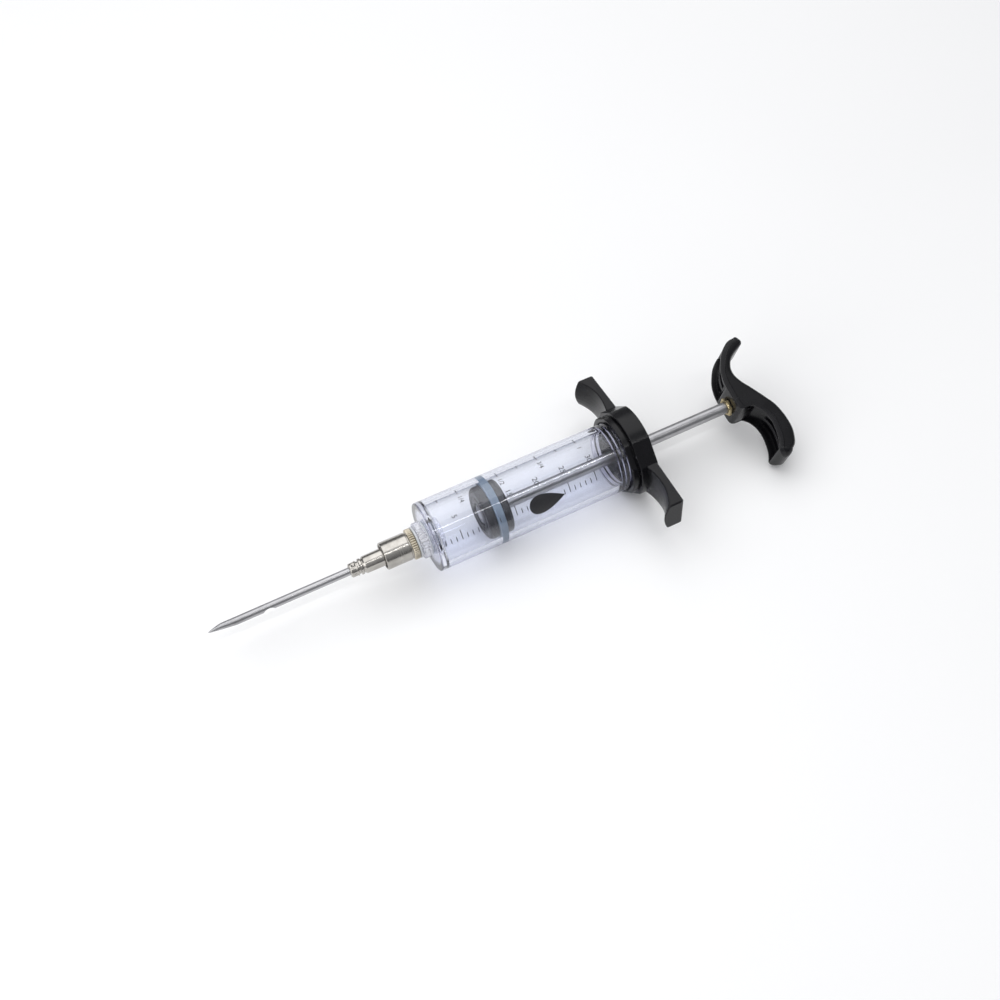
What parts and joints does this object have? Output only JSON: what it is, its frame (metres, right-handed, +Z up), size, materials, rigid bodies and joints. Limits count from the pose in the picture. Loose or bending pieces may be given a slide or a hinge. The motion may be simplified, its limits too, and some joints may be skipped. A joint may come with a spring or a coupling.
{
  "type": "meat injector",
  "caption": "Hand-held marinade injector: steel needle with side openings, clear barrel with a sliding piston, screw-on grip cap with finger wings, and a curved palm handle on the rod.",
  "frame": {"origin": "below the middle of the overall length, on the injector's axis in plan, at the height of the underside of the grip ring", "axes": "+X along the injector from the needle to the handle, the finger wings reach along Y, +Z up with the injector lying on its grip ring"},
  "size_m": [0.2394, 0.072, 0.036],
  "materials": {
    "steel": "polished stainless steel",
    "nickel": "warm nickel plate",
    "worn_nickel": "knurled, brassy nickel plate",
    "brass": "turned brass",
    "clear_plastic": "clear polycarbonate with a faint lilac tint",
    "black_plastic": "satin moulded black plastic",
    "dark_rubber": "matt black rubber",
    "blue_silicone": "blue-grey silicone",
    "pale_silicone": "pale silicone"
  },
  "bodies": {
    "barrel": {"barrel": "clear_plastic", "nose_bush": "clear_plastic", "nose_nut": "clear_plastic", "nose_gasket": "pale_silicone", "nose_washer": "pale_silicone", "lock_socket": "nickel", "knurled_ring": "worn_nickel"},
    "seal_carrier": {"hub_seal": "pale_silicone"},
    "needle": {"needle_tube": "steel", "needle_ferrule": "nickel", "needle_hub": "nickel"},
    "gasket": {"cap_gasket": "dark_rubber"},
    "grip": {"grip_cap": "black_plastic", "rod_bush": "black_plastic"},
    "piston": {"piston_front": "dark_rubber", "piston_seal": "blue_silicone", "piston_rear": "dark_rubber"},
    "plunger": {"plunger_rod": "steel", "piston_nut": "steel", "front_washer": "steel", "back_washer": "steel", "handle": "black_plastic", "handle_insert": "brass", "lock_nut": "brass"}
  },
  "joints": [
    {"name": "plunger_slide", "type": "slide", "parent": "barrel", "child": "piston", "axis": [1, 0, 0], "range_m": [-0.016, 0.053]},
    {"name": "handle_turn", "type": "hinge", "parent": "piston", "child": "plunger", "pos_m": [0, 0, 0.018], "axis": [1, 0, 0], "continuous": true},
    {"name": "cap_lift", "type": "slide", "parent": "barrel", "child": "gasket", "axis": [1, 0, 0], "range_m": [0, 0.007]},
    {"name": "cap_turn", "type": "hinge", "parent": "gasket", "child": "grip", "pos_m": [0.056, 0, 0.018], "axis": [1, 0, 0], "range_deg": [0, 1260]},
    {"name": "needle_out", "type": "slide", "parent": "barrel", "child": "seal_carrier", "axis": [-1, 0, 0], "range_m": [0, 0.0025]},
    {"name": "needle_turn", "type": "hinge", "parent": "seal_carrier", "child": "needle", "pos_m": [-0.045, 0, 0.018], "axis": [-1, 0, 0], "range_deg": [0, 180]}
  ],
  "couplings": [
    {"joint": "cap_lift", "follows": "cap_turn", "m_per_rad": 0.00031831},
    {"joint": "needle_turn", "follows": "needle_out", "rad_per_m": 1256.6}
  ]
}
